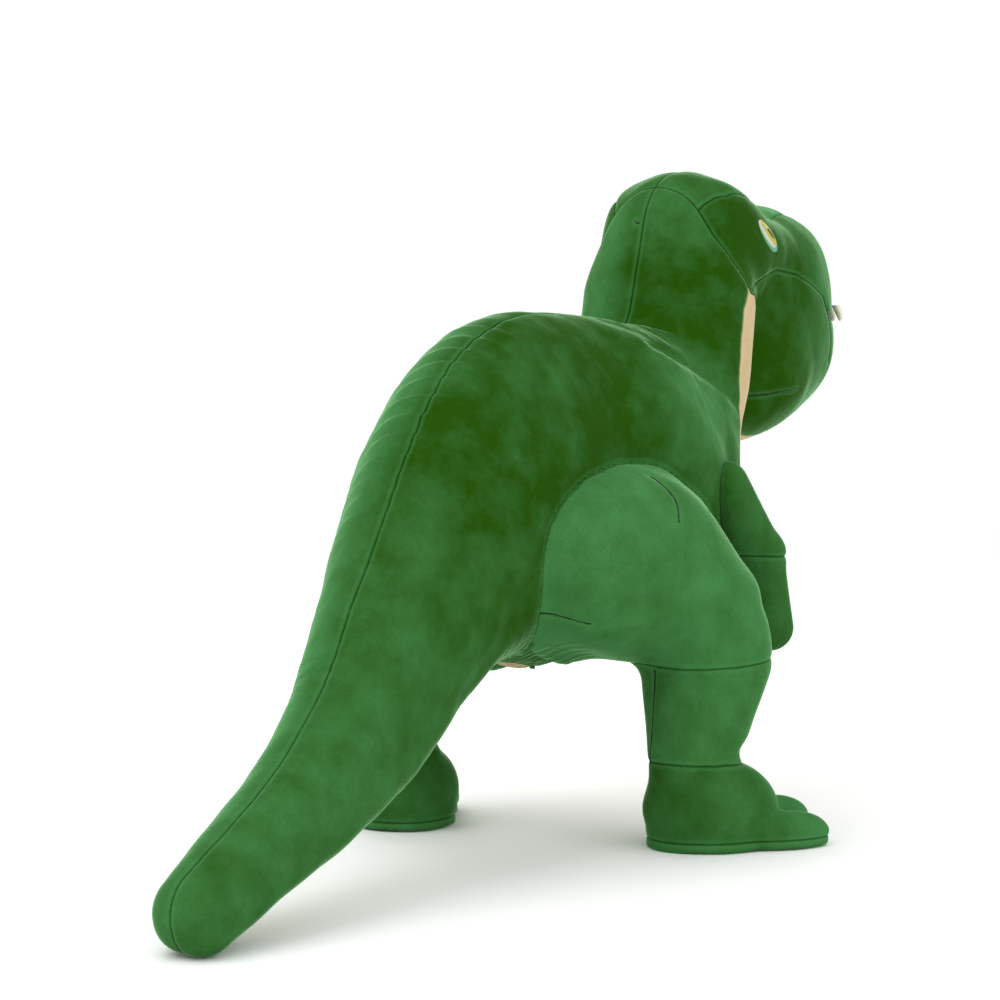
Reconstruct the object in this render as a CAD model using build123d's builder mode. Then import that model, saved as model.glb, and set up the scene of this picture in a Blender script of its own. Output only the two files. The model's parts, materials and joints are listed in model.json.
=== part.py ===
from build123d import *
from math import atan2, cos, radians, sin
import os

os.makedirs("parts", exist_ok=True)

# Millimetres. +Z is up, the dinosaur looks along -Y, and its right side is at -X.
# "forward" is measured towards the nose from the line between the ankles, "up" from the floor.
MIDDLE = 15.0  # forward position of the middle of the whole toy, where Y is 0
CLOTH = 3.0  # pile fabric with its seam allowance
CLEAR = 0.4  # air between neighbouring pieces
SEAM = 0.3  # air across a seam that is cut on a plane
BIG = 600.0

# Where the soft joints bend
TAIL_BEND = -200.0
TAIL_BEND_RADIUS = 70.0
TAIL_SWEEP_ROOM = 19.0
NECK_TURN = 200.0
NECK_TURN_UP = 388.0
THROAT_RADIUS = 68.0
SHOULDER = (120.0, 258.0)
SHOULDER_SIDE = 79.0
SHOULDER_PAD = 52.0

SIDES = {"right": -1, "left": 1}


def spot(forward, up, side=0.0):
    """A point from forward and up, with side along X."""
    return (side, MIDDLE - forward, up)


def egg(half_wide, half_high, narrowing):
    """A closed section, narrower towards its top."""
    points = []
    for step in range(12):
        angle = radians(30 * step)
        wide = half_wide * (1 - narrowing * sin(angle))
        points.append((wide * cos(angle), half_high * sin(angle)))
    with BuildLine() as outline:
        Spline(*points, periodic=True)
    make_face(outline.edges())


def tail_side_bend(forward):
    """The tail leans a little towards the right foot."""
    back = min(max((-45.0 - forward) / 350.0, 0.0), 1.2)
    return -8.0 * back * back


def spine_plane(rows, index):
    """The plane square to the spine at one row, with its +Y towards the back."""
    before = rows[max(index - 1, 0)]
    after = rows[min(index + 1, len(rows) - 1)]
    rise = atan2(after[1] - before[1], after[0] - before[0])
    forward, up = rows[index][0], rows[index][1]
    return Plane(
        origin=spot(forward, up, tail_side_bend(forward)),
        x_dir=(1, 0, 0),
        z_dir=(0, -cos(rise), sin(rise)),
    )


def spine_tube(rows, grow, narrowing):
    """A body of egg sections along the spine, grown or shrunk all round."""
    with BuildPart() as tube:
        for index, row in enumerate(rows):
            if grow < 0 and index in (0, len(rows) - 1):
                continue
            with BuildSketch(spine_plane(rows, index)):
                egg(row[2] + grow, row[3] + grow, narrowing)
        loft()
    return tube.part


def muzzle_loft(rows, grow):
    """A body of sections square to the muzzle: forward, up, half width, half height."""
    with BuildPart() as body:
        for index, (forward, up, half_wide, half_high) in enumerate(rows):
            if grow < 0 and index in (0, len(rows) - 1):
                continue
            with BuildSketch(Plane(origin=spot(forward, up), x_dir=(1, 0, 0), z_dir=(0, -1, 0))):
                egg(half_wide + grow, half_high + grow, 0.0)
        loft()
    return body.part


def stack(rows, grow, sign=1, turn=0.0):
    """A body of level sections: up, forward, side, half length, half width."""
    ahead = (sign * sin(radians(turn)), -cos(radians(turn)), 0)
    with BuildPart() as body:
        for up, forward, side, half_long, half_wide in rows:
            with BuildSketch(Plane(origin=spot(forward, up, sign * side), x_dir=ahead, z_dir=(0, 0, 1))):
                egg(half_long + grow, half_wide + grow, 0.0)
        loft()
    return body.part


def slab(low, high):
    """A box from its lowest to its highest corner."""
    with BuildPart() as block:
        with Locations([tuple((a + b) / 2 for a, b in zip(low, high))]):
            Box(*[b - a for a, b in zip(low, high)])
    return block.part


def post(forward, side, radius, low, high):
    """An upright cylinder."""
    with BuildPart() as cylinder:
        with BuildSketch(Plane(origin=spot(forward, low, side))):
            Circle(radius)
        extrude(amount=high - low)
    return cylinder.part


def half_space(sign, margin=SEAM / 2):
    """Everything on one side of the middle seam."""
    low, high = sorted((sign * margin, sign * BIG))
    return slab((low, -BIG, -BIG), (high, BIG, BIG))


def save(part, name):
    part.label = name
    export_step(part, f"parts/{name}.step")


# ---------------------------------------------------------------- shapes of the stuffed bodies
# forward, up, half width, half height of the tail and trunk
TRUNK = [
    (-446, 21, 8, 8),
    (-440, 22, 16, 16),
    (-421, 23.6, 25, 24),
    (-366, 44, 33, 30),
    (-309, 69, 38, 39),
    (-248, 104, 47, 53),
    (-201, 148, 56, 65),
    (-157, 184, 67, 81),
    (-108, 219, 77, 107),
    (-48, 247, 88, 127),
    (24, 258, 90, 126),
    (86, 259, 93, 119),
    (138, 256, 79, 94),
    (172, 260, 65, 76),
    (196, 264, 46, 54),
    (208, 268, 26, 30),
]
TRUNK_NARROWING = 0.10
# up, forward, side, half length, half width of the neck column
NECK = [
    (236, 140, 0, 70, 62),
    (290, 160, 0, 76, 66),
    (330, 180, 0, 69, 64),
    (360, 193, 0, 65, 62),
    (400, 203, 0, 62, 61),
    (430, 208, 0, 61, 60),
]
# forward, up, half width, half height of the skull and upper jaw
SKULL = [
    (160, 442, 24, 26),
    (170, 442, 40, 42),
    (190, 442, 55, 58),
    (225, 442, 64, 67),
    (262, 442, 66, 65),
    (310, 438, 66, 57),
    (366, 437, 66, 56),
    (410, 434, 61, 50),
    (444, 428, 48, 40),
    (464, 423, 32, 27),
    (472, 420, 20, 17),
]
# forward, up, half width, half height of the lower jaw and cheeks
JAW = [
    (254, 372, 18, 20),
    (262, 372, 33, 36),
    (285, 371, 51, 55),
    (325, 370, 65, 70),
    (366, 370, 68, 74),
    (408, 372, 62, 68),
    (442, 376, 48, 52),
    (462, 380, 32, 35),
    (470, 382, 20, 22),
]
# up, forward, side, half length, half width of one leg, before its stride
THIGH = [
    (271, -30, 74, 30, 20),
    (262, -28, 77, 56, 36),
    (240, -22, 83, 82, 53),
    (212, -12, 91, 94, 62),
    (180, 2, 100, 91, 64),
    (156, 10, 108, 78, 60),
    (136, 15, 119, 54, 51),
]
SHIN = [
    (135.6, 15, 119, 53.5, 50.5),
    (112, 13, 121, 44, 44),
    (84, 5, 119, 36, 36),
    (62, 1, 117, 33, 33),
]
FOOT = [
    (61.6, 1, 117, 33, 33),
    (50, 7, 120, 44, 36),
    (36, 17, 126, 60, 41),
    (22, 26, 131, 71, 44),
    (6.4, 28, 132, 73, 45),
]
SOLE = [
    (6, 28, 132, 73, 45),
    (0, 28, 132, 70, 42),
]
# forward, up, side, radius of one arm, from inside the shoulder to the hand
ARM = [
    (120, 258, 88, 26),
    (146, 231, 95, 24.5),
    (166, 203, 100, 22.5),
    (180, 175, 100, 21.5),
    (190, 148, 98, 20.5),
    (195, 133, 97, 15),
    (196, 127, 97, 8),
]
SHOULDER_RADIUS = 27.0
ELBOW_UP = 201.0
# forward, up, side, radius of one brow ridge
BROW = [
    (212, 482, 40, 4),
    (226, 486, 42, 11),
    (252, 488, 43, 15),
    (276, 485, 43, 13),
    (290, 480, 43, 8),
    (296, 477, 43, 4),
]
EYE = (269, 466)
EYE_SLANT = -30.0
# forward, side and height of one side's upper teeth
TEETH = [(440, 47, 19), (457, 31, 16), (466, 11, 14)]
TOOTH_TOP = 399.0
TOOTH_RADIUS = 6.0
NOSTRIL = (443, 17)
ANKLE_FILL = 26.0  # radius of the stuffing where it passes the ankle seam
LEGS = {"right": {"stride": 14, "toe_out": 36}, "left": {"stride": -14, "toe_out": 24}}


# side views of the seams: forward, up
BELLY_LINE = [
    (-470, -20),
    (-470, 22),
    (-366, 40),
    (-309, 60),
    (-248, 98),
    (-180, 150),
    (-110, 190),
    (0, 205),
    (100, 225),
    (160, 262),
    (200, 320),
    (205, 420),
    (330, 420),
    (330, -20),
]
JAW_LINE = [
    (246, 412),
    (268, 425),
    (300, 433),
    (347, 434),
    (379, 428),
    (400, 416),
    (414, 402),
    (500, 396),
    (500, 250),
    (246, 250),
]
NAPE_LINE = [(100, 600), (196, 600), (200, 482), (242, 413), (242, 250), (100, 250)]
MOUTH_LINE = [
    (388, 424.5),
    (400, 417.5),
    (414, 403.5),
    (500, 397.5),
    (500, 396),
    (414, 402),
    (400, 416),
    (388, 423),
]
MOUTH_ROOM = [
    (388, 425),
    (400, 418),
    (414, 404),
    (500, 398),
    (500, 395.5),
    (414, 401.5),
    (400, 415.5),
    (388, 422.5),
]
CHIN_LINE = [(240, 350), (300, 345), (400, 345), (500, 360), (500, 250), (240, 250)]
CHIN_HALF = 28.0
BRIDGE_HALF = 28.0
BRIDGE_LINE = [(290, 600), (290, 440), (500, 440), (500, 600)]

# ---------------------------------------------------------------- cutting bodies shared by the pieces
CORE = -(CLOTH + CLEAR)


def body_skin(grow):
    """Trunk, tail and neck column together."""
    with BuildPart() as skin:
        add(spine_tube(TRUNK, grow, TRUNK_NARROWING))
        add(stack(NECK, grow))
    return skin.part


def head_skin(grow):
    """Skull, muzzle, lower jaw and the top of the neck together, hollowed at the throat."""
    with BuildPart() as skin:
        add(stack(NECK, grow))
        add(slab((-BIG, -BIG, NECK_TURN_UP), (BIG, BIG, BIG)), mode=Mode.INTERSECT)
        add(muzzle_loft(SKULL, grow))
        add(muzzle_loft(JAW, grow))
        add(post(NECK_TURN, 0, THROAT_RADIUS - grow, 200, NECK_TURN_UP), mode=Mode.SUBTRACT)
    return skin.part


def side_zone(outline, half_wide=BIG):
    """An outline seen from the side, forward and up, as wide as asked."""
    with BuildPart() as zone:
        with BuildSketch(Plane.YZ.offset(-half_wide)):
            with BuildLine():
                Polyline(*[(MIDDLE - forward, up) for forward, up in outline], close=True)
            make_face()
        extrude(amount=2 * half_wide)
    return zone.part


def leg_rows(rows, stride):
    return [(up, forward + stride, side, long, wide) for up, forward, side, long, wide in rows]


body_outer = body_skin(0)
body_inner = body_skin(-CLOTH)
body_core = body_skin(CORE)
body_room = body_skin(CLEAR)
head_outer = head_skin(0)
head_inner = head_skin(-CLOTH)
head_core = head_skin(CORE)
head_room = head_skin(CLEAR)

tail_bend_y = spot(TAIL_BEND, 0)[1]

# The tail keeps what lies inside an upright post at its root and all behind it.
tail_post = post(TAIL_BEND, 0, TAIL_BEND_RADIUS, 0, BIG)
behind_bend = slab((-BIG, tail_bend_y, -BIG), (BIG, BIG, BIG))
with BuildPart() as tail_zone_builder:
    add(tail_post)
    add(behind_bend)
tail_zone = tail_zone_builder.part
with BuildPart() as trunk_cut_builder:
    add(post(TAIL_BEND, 0, TAIL_BEND_RADIUS + 2 * CLEAR, -1, BIG))
    add(slab((-BIG, tail_bend_y - TAIL_SWEEP_ROOM, -BIG), (BIG, BIG, BIG)))
    add(slab((-BIG, -BIG, NECK_TURN_UP - SEAM), (BIG, BIG, BIG)))
trunk_cut = trunk_cut_builder.part

# The shoulders sit on flat pads, so that the arms turn without rubbing.
shoulder_pads = {}
for side, sign in SIDES.items():
    with BuildPart() as pad:
        with BuildSketch(Plane(origin=spot(*SHOULDER, sign * SHOULDER_SIDE), z_dir=(sign, 0, 0))):
            Circle(SHOULDER_PAD)
        extrude(amount=40)
    shoulder_pads[side] = pad.part

# The tan cloth runs under the jaw, down the throat, over the belly and under the tail.
with BuildPart() as belly_zone_builder:
    with BuildSketch(Plane.XY.offset(-20)):
        with BuildLine():
            Polyline(
                *[spot(f, 0, w)[:2] for f, w in [(320, 52), (215, 52), (150, 66), (100, 72), (20, 50)]],
                *[spot(f, 0, w)[:2] for f, w in [(-60, 34), (-130, 24), (-300, 15), (-470, 10)]],
                *[spot(f, 0, -w)[:2] for f, w in [(-470, 10), (-300, 15), (-130, 24), (-60, 34)]],
                *[spot(f, 0, -w)[:2] for f, w in [(20, 50), (100, 72), (150, 66), (215, 52), (320, 52)]],
                close=True,
            )
        make_face()
    extrude(amount=440)
    add(side_zone(BELLY_LINE), mode=Mode.INTERSECT)
belly_zone = belly_zone_builder.part

# ---------------------------------------------------------------- trunk
for side, sign in SIDES.items():
    with BuildPart() as flank_cover:
        add(body_outer)
        add(body_inner, mode=Mode.SUBTRACT)
        add(trunk_cut, mode=Mode.SUBTRACT)
        add(belly_zone, mode=Mode.SUBTRACT)
        add(shoulder_pads[side], mode=Mode.SUBTRACT)
        add(half_space(sign), mode=Mode.INTERSECT)
    save(flank_cover.part, f"flank_cover_{side}")

with BuildPart() as belly_panel:
    add(body_outer)
    add(body_inner, mode=Mode.SUBTRACT)
    add(trunk_cut, mode=Mode.SUBTRACT)
    add(belly_zone, mode=Mode.INTERSECT)
save(belly_panel.part, "belly_panel")

with BuildPart() as trunk_stuffing:
    add(body_core)
    add(trunk_cut, mode=Mode.SUBTRACT)
    add(shoulder_pads["right"], mode=Mode.SUBTRACT)
    add(shoulder_pads["left"], mode=Mode.SUBTRACT)
save(trunk_stuffing.part, "trunk_stuffing")

# ---------------------------------------------------------------- tail
for side, sign in SIDES.items():
    with BuildPart() as tail_cover:
        add(body_outer)
        add(body_inner, mode=Mode.SUBTRACT)
        add(tail_zone, mode=Mode.INTERSECT)
        add(belly_zone, mode=Mode.SUBTRACT)
        add(half_space(sign), mode=Mode.INTERSECT)
    save(tail_cover.part, f"tail_cover_{side}")

with BuildPart() as tail_underside:
    add(body_outer)
    add(body_inner, mode=Mode.SUBTRACT)
    add(tail_zone, mode=Mode.INTERSECT)
    add(belly_zone, mode=Mode.INTERSECT)
save(tail_underside.part, "tail_underside")

with BuildPart() as tail_stuffing:
    add(body_core)
    add(tail_zone, mode=Mode.INTERSECT)
save(tail_stuffing.part, "tail_stuffing")

# ---------------------------------------------------------------- legs
for side, sign in SIDES.items():
    stride = LEGS[side]["stride"]
    toe_out = LEGS[side]["toe_out"]
    thigh_rows = leg_rows(THIGH, stride)
    lower_rows = leg_rows(SHIN, stride)
    foot_rows = leg_rows(FOOT, stride)
    thigh_top = THIGH[0][0]

    with BuildPart() as thigh_hollow:
        add(stack(thigh_rows, -CLOTH, sign))
        add(slab((-BIG, -BIG, 0), (BIG, BIG, thigh_top - CLOTH)), mode=Mode.INTERSECT)
    with BuildPart() as thigh_cover:
        add(stack(thigh_rows, 0, sign))
        add(thigh_hollow.part, mode=Mode.SUBTRACT)
        add(body_room, mode=Mode.SUBTRACT)
    save(thigh_cover.part, f"thigh_cover_{side}")

    with BuildPart() as thigh_stuffing:
        add(stack(thigh_rows, CORE, sign))
        add(slab((-BIG, -BIG, 0), (BIG, BIG, thigh_top - CLOTH - CLEAR)), mode=Mode.INTERSECT)
        add(body_room, mode=Mode.SUBTRACT)
    save(thigh_stuffing.part, f"thigh_stuffing_{side}")

    with BuildPart() as shin_cover:
        add(stack(lower_rows, 0, sign, toe_out))
        add(stack(lower_rows, -CLOTH, sign, toe_out), mode=Mode.SUBTRACT)
    save(shin_cover.part, f"shin_cover_{side}")

    with BuildPart() as foot_upper:
        add(stack(foot_rows, 0, sign, toe_out))
        add(stack(foot_rows, -CLOTH, sign, toe_out), mode=Mode.SUBTRACT)
    save(foot_upper.part, f"foot_upper_{side}")

    ankle_up, ankle_forward, ankle_side = foot_rows[0][:3]
    with BuildPart() as foot_stuffing:
        add(stack(lower_rows, CORE, sign, toe_out))
        add(stack(foot_rows, CORE, sign, toe_out))
        add(post(ankle_forward, sign * ankle_side, ANKLE_FILL, ankle_up - 10, ankle_up + 10))
    save(foot_stuffing.part, f"foot_stuffing_{side}")

    with BuildPart() as sole:
        add(stack(leg_rows(SOLE, stride), 0, sign, toe_out))
    save(sole.part, f"sole_{side}")

# ---------------------------------------------------------------- arms
def arm_loft(grow, sign):
    """One arm of round sections square to its own line, with a ball in the shoulder."""
    with BuildPart() as arm:
        for index, (forward, up, side, radius) in enumerate(ARM):
            before = Vector(*spot(*ARM[max(index - 1, 0)][:2], sign * ARM[max(index - 1, 0)][2]))
            after_row = ARM[min(index + 1, len(ARM) - 1)]
            after = Vector(*spot(*after_row[:2], sign * after_row[2]))
            if grow < 0 and index == len(ARM) - 1:
                continue
            square = Plane(origin=spot(forward, up, sign * side), x_dir=(1, 0, 0), z_dir=after - before)
            with BuildSketch(square):
                Circle(radius + grow)
        loft()
        with Locations(spot(*SHOULDER, sign * ARM[0][2])):
            Sphere(SHOULDER_RADIUS + grow)
    return arm.part


for side, sign in SIDES.items():
    inner_face = SHOULDER_SIDE + SEAM
    low, high = sorted((sign * inner_face, sign * BIG))
    outside_shoulder = slab((low, -BIG, 0), (high, BIG, BIG))
    arm_outer = arm_loft(0, sign)
    arm_inner = arm_loft(-CLOTH, sign)

    with BuildPart() as upper_arm_cover:
        add(arm_outer)
        add(arm_inner, mode=Mode.SUBTRACT)
        add(outside_shoulder, mode=Mode.INTERSECT)
        add(slab((-BIG, -BIG, ELBOW_UP + SEAM / 2), (BIG, BIG, BIG)), mode=Mode.INTERSECT)
    save(upper_arm_cover.part, f"upper_arm_cover_{side}")

    with BuildPart() as forearm_cover:
        add(arm_outer)
        add(arm_inner, mode=Mode.SUBTRACT)
        add(outside_shoulder, mode=Mode.INTERSECT)
        add(slab((-BIG, -BIG, 0), (BIG, BIG, ELBOW_UP - SEAM / 2)), mode=Mode.INTERSECT)
    save(forearm_cover.part, f"forearm_cover_{side}")

    with BuildPart() as arm_stuffing:
        add(arm_loft(CORE, sign))
        add(outside_shoulder, mode=Mode.INTERSECT)
    save(arm_stuffing.part, f"arm_stuffing_{side}")

# ---------------------------------------------------------------- head
jaw_zone = side_zone(JAW_LINE)
nape_zone = side_zone(NAPE_LINE)
mouth_zone = side_zone(MOUTH_LINE)
chin_zone = side_zone(CHIN_LINE, CHIN_HALF)
bridge_zone = side_zone(BRIDGE_LINE, BRIDGE_HALF)

with BuildPart() as head_shell_builder:
    add(head_outer)
    add(head_inner, mode=Mode.SUBTRACT)
    add(mouth_zone, mode=Mode.SUBTRACT)
head_shell = head_shell_builder.part

for side, sign in SIDES.items():
    half = half_space(sign)

    with BuildPart() as nape_cover:
        add(head_shell)
        add(nape_zone, mode=Mode.INTERSECT)
        add(half, mode=Mode.INTERSECT)
    save(nape_cover.part, f"nape_cover_{side}")

    with BuildPart() as face_panel:
        add(head_shell)
        add(nape_zone, mode=Mode.SUBTRACT)
        add(jaw_zone, mode=Mode.SUBTRACT)
        add(bridge_zone, mode=Mode.SUBTRACT)
        add(half, mode=Mode.INTERSECT)
    save(face_panel.part, f"face_panel_{side}")

    with BuildPart() as jaw_cover:
        add(head_shell)
        add(jaw_zone, mode=Mode.INTERSECT)
        add(chin_zone, mode=Mode.SUBTRACT)
        add(nape_zone, mode=Mode.SUBTRACT)
        add(half, mode=Mode.INTERSECT)
    save(jaw_cover.part, f"jaw_cover_{side}")

with BuildPart() as snout_bridge:
    add(head_shell)
    add(bridge_zone, mode=Mode.INTERSECT)
save(snout_bridge.part, "snout_bridge")

with BuildPart() as chin_panel:
    add(head_shell)
    add(chin_zone, mode=Mode.INTERSECT)
    add(nape_zone, mode=Mode.SUBTRACT)
save(chin_panel.part, "chin_panel")

with BuildPart() as mouth_lining:
    add(mouth_zone)
    add(head_outer, mode=Mode.INTERSECT)
save(mouth_lining.part, "mouth_lining")

with BuildPart() as head_stuffing:
    add(head_core)
    add(side_zone(MOUTH_ROOM), mode=Mode.SUBTRACT)
save(head_stuffing.part, "head_stuffing")

# ---------------------------------------------------------------- brows, eyes, nostrils and teeth
for side, sign in SIDES.items():
    with BuildPart() as brow:
        for forward, up, out, radius in BROW:
            with BuildSketch(Plane(origin=spot(forward, up, sign * out), x_dir=(1, 0, 0), z_dir=(0, -1, 0))):
                Circle(radius)
        loft()
        add(head_room, mode=Mode.SUBTRACT)
    save(brow.part, f"brow_{side}")


def skin_layer(low, high):
    """A thin layer that lies on the muzzle, between two heights above it."""
    with BuildPart() as layer:
        add(muzzle_loft(SKULL, high))
        add(muzzle_loft(SKULL, low), mode=Mode.SUBTRACT)
    return layer.part


EYE_LAYERS = {
    "eye_white": (CLEAR, 1.4, 14.5, 9.0),
    "iris": (1.5, 2.3, 12.5, 6.5),
    "pupil": (2.4, 3.2, 8.5, 1.8),
}
for layer_name, (low, high, half_long, half_tall) in EYE_LAYERS.items():
    layer = skin_layer(low, high)
    for side, sign in SIDES.items():
        eye_plane = Plane(origin=spot(*EYE, sign * 40), x_dir=(0, -1, 0), z_dir=(sign, 0, 0))
        with BuildPart() as patch:
            with BuildSketch(eye_plane):
                Ellipse(half_long, half_tall, rotation=-sign * EYE_SLANT)
            extrude(amount=40)
            add(layer, mode=Mode.INTERSECT)
        save(patch.part, f"{layer_name}_{side}")

with BuildPart() as nostrils:
    nose_layer = skin_layer(CLEAR, 1.6)
    for sign in SIDES.values():
        with BuildSketch(Plane(origin=spot(NOSTRIL[0], 420, sign * NOSTRIL[1]))):
            Ellipse(3.5, 6)
        extrude(amount=80)
    add(nose_layer, mode=Mode.INTERSECT)
save(nostrils.part, "nostrils")

with BuildPart() as teeth:
    for forward, out, height in TEETH:
        for sign in SIDES.values():
            with BuildSketch(Plane(origin=spot(forward, TOOTH_TOP, sign * out), x_dir=(1, 0, 0))):
                Circle(TOOTH_RADIUS)
            with BuildSketch(Plane(origin=spot(forward, TOOTH_TOP - height, sign * out), x_dir=(1, 0, 0))):
                Circle(1)
            loft()
    add(head_room, mode=Mode.SUBTRACT)
save(teeth.part, "upper_teeth")
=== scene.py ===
import json
import math

import bpy
import numpy as np
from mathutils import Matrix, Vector
from mathutils.kdtree import KDTree


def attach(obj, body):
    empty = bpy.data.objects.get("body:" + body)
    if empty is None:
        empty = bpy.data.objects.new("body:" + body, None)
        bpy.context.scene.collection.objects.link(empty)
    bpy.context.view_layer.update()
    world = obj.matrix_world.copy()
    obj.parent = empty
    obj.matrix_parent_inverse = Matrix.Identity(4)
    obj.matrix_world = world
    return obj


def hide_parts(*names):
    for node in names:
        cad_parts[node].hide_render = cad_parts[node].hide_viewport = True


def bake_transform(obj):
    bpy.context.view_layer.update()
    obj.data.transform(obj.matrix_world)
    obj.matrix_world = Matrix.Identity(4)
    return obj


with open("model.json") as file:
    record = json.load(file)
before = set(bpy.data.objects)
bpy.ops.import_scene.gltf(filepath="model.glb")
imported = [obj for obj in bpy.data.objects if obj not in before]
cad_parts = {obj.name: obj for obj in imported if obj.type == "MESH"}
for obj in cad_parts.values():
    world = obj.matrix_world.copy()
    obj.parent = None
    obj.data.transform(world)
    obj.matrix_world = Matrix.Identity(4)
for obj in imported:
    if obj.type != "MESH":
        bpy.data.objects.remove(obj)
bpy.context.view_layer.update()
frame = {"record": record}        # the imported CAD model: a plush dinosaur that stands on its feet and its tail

# Shapes are worked out in millimetres and become metres when a mesh is made.
# "forward" runs towards the nose from the line between the ankles, "up" from the floor.
MM = 0.001
JOINTS = {joint["name"]: joint for joint in frame["record"]["behaviour"]["joints"]}
SHOULDER_FORWARD = 120.0
MIDDLE = JOINTS["arm_right_swing"]["pos_m"][1] / MM + SHOULDER_FORWARD
SIDES = {"right": -1, "left": 1}
FAR = 1e4
STEP = 3.0  # size of the surface cells
CLOTH = 2.2  # thickness of the pile fabric
STITCH = 0.55  # spacing of satin stitches


def spot(forward, up, side=0.0):
    """A point from forward and up, with side along X."""
    return np.array([side, MIDDLE - forward, up], float)


def places_of(points):
    """forward, up and side of every point"""
    return MIDDLE - points[:, 1], points[:, 2], points[:, 0]


# ---- distance fields of the stuffed bodies
# forward, up, half width, half height of the tail and trunk along the spine
TRUNK = [
    (-421, 24, 25, 24),
    (-366, 45, 34, 28),
    (-309, 72, 39, 35),
    (-248, 109, 45, 50),
    (-201, 156, 55, 61),
    (-157, 195, 67, 78),
    (-108, 226, 76, 105),
    (-48, 248, 84, 127),
    (24, 258, 86, 127),
    (86, 258, 92, 119),
    (138, 253, 79, 91),
]
TRUNK_NARROWING = 0.12
SQUARENESS = 2.15  # 2 is an oval section, more is fuller at its corners
TRUNK_LEAN = 11.0  # how far the middle of the back leans to the left
NECK_BLEND = 50.0
NECK = [(106, 273, 80, 86), (158, 308, 70, 73), (193, 344, 71, 68), (207, 400, 70, 61)]
NECK_LEAN = -3.0  # and the neck to the right
LEGS = {"right": {"stride": 14, "toe_out": 36}, "left": {"stride": -19, "toe_out": 34}}


def smooth_min(a, b, k):
    h = np.maximum(k - np.abs(a - b), 0.0) / k
    return np.minimum(a, b) - h * h * k * 0.25


def smooth_step(low, high, value):
    t = np.clip((value - low) / (high - low), 0.0, 1.0)
    return t * t * (3 - 2 * t)


def turn(degrees):
    """A rotation about the upright, as a matrix whose columns are the turned axes."""
    c, s = math.cos(math.radians(degrees)), math.sin(math.radians(degrees))
    return np.array([[c, -s, 0], [s, c, 0], [0, 0, 1]])


def ellipsoid(p, centre, radii):
    q = p - centre
    radii = np.asarray(radii, float)
    near = np.linalg.norm(q / radii, axis=1)
    slope = np.linalg.norm(q / (radii * radii), axis=1)
    return near * (near - 1.0) / np.maximum(slope, 1e-9)


def round_cone(p, a, b, ra, rb):
    """A cone with round ends, from radius ra at a to rb at b."""
    along = b - a
    length2 = along @ along
    taper = ra - rb
    side2 = length2 - taper * taper
    pa = p - a
    y = pa @ along
    z = y - length2
    x2 = ((pa * length2 - y[:, None] * along) ** 2).sum(1)
    k = np.sign(taper) * taper * taper * x2
    far_end = np.sqrt(x2 + z * z * length2) / length2 - rb
    near_end = np.sqrt(x2 + y * y * length2) / length2 - ra
    wall = (np.sqrt(x2 * side2 / length2) + y * taper) / length2 - ra
    ends = np.where(np.sign(y) * side2 * y * y * length2 < k, near_end, wall)
    return np.where(np.sign(z) * side2 * z * z * length2 > k, far_end, ends)


def through(rows, steps=5):
    """A smooth run of rows through the given ones."""
    rows = np.asarray(rows, float)
    rows = np.vstack([2 * rows[0] - rows[1], rows, 2 * rows[-1] - rows[-2]])
    out = []
    for a, b, c, d in zip(rows, rows[1:], rows[2:], rows[3:]):
        t = np.linspace(0, 1, steps, endpoint=False)[:, None]
        bend = (2 * a - 5 * b + 4 * c - d) * t**2
        out.append(0.5 * (2 * b + (c - a) * t + bend + (3 * b - a - 3 * c + d) * t**3))
    return np.vstack(out + [rows[-2:-1]])


def spine_tube(p, rows, narrowing):
    """Distance to a tube of egg sections along a line in the middle plane."""
    start, run = rows[:-1, :2], np.diff(rows[:, :2], axis=0)
    length = np.linalg.norm(run, axis=1)
    out = np.empty(len(p))
    for first in range(0, len(p), 20000):
        q = p[first : first + 20000]
        away = q[:, None, 1:3] - start
        share = np.clip((away * run).sum(2) / length**2, 0, 1)
        away -= share[..., None] * run
        pick = np.argmin((away**2).sum(2), axis=1)
        here = np.arange(len(q))
        away, share, run_here = away[here, pick], share[here, pick], run[pick] / length[pick, None]
        across = away[:, 1] * run_here[:, 0] - away[:, 0] * run_here[:, 1]
        beyond = (away * run_here).sum(1)
        wide = rows[pick, 2] + (rows[pick + 1, 2] - rows[pick, 2]) * share
        high = rows[pick, 3] + (rows[pick + 1, 3] - rows[pick, 3]) * share
        cap = np.minimum(wide, high)
        # with the rows running forward, across is negative on the back
        x = q[:, 0] / (1 - narrowing * np.clip(-across / high, -1.2, 1.2))
        parts = np.abs(np.stack([x / wide, across / high, beyond / cap]))
        near = (parts**SQUARENESS).sum(0) ** (1 / SQUARENESS)
        slope = np.sqrt(((parts ** (SQUARENESS - 1) / np.stack([wide, high, cap])) ** 2).sum(0))
        slope *= np.maximum(near, 1e-3) ** (1 - SQUARENESS)
        out[first : first + 20000] = (near - 1) / np.maximum(slope, 1e-3)
    return out


def rows_to_yz(rows):
    return through([(MIDDLE - f, u, w, h) for f, u, w, h in rows])


TRUNK_ROWS, NECK_ROWS = rows_to_yz(TRUNK), rows_to_yz(NECK)


def trunk_lean(y):
    return TRUNK_LEAN * np.exp(-(((y - MIDDLE - 30) / 150) ** 2))


def tail_bend(y):
    """How far the tail leans towards the right foot."""
    back = np.clip((y - spot(-60, 0)[1]) / 350, 0, 1.2)
    return -8.0 * back * back


def lumps(p, size, seed):
    """Smooth unevenness between about -1 and 1, with bumps of the given size."""
    random = np.random.RandomState(seed)
    total = np.zeros(len(p))
    for _ in range(7):
        direction = random.normal(size=3)
        direction *= 2 * math.pi / (size * random.uniform(0.8, 1.6) * np.linalg.norm(direction))
        total += np.sin(p @ direction + random.uniform(0, 2 * math.pi))
    return total / 2.6


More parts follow.
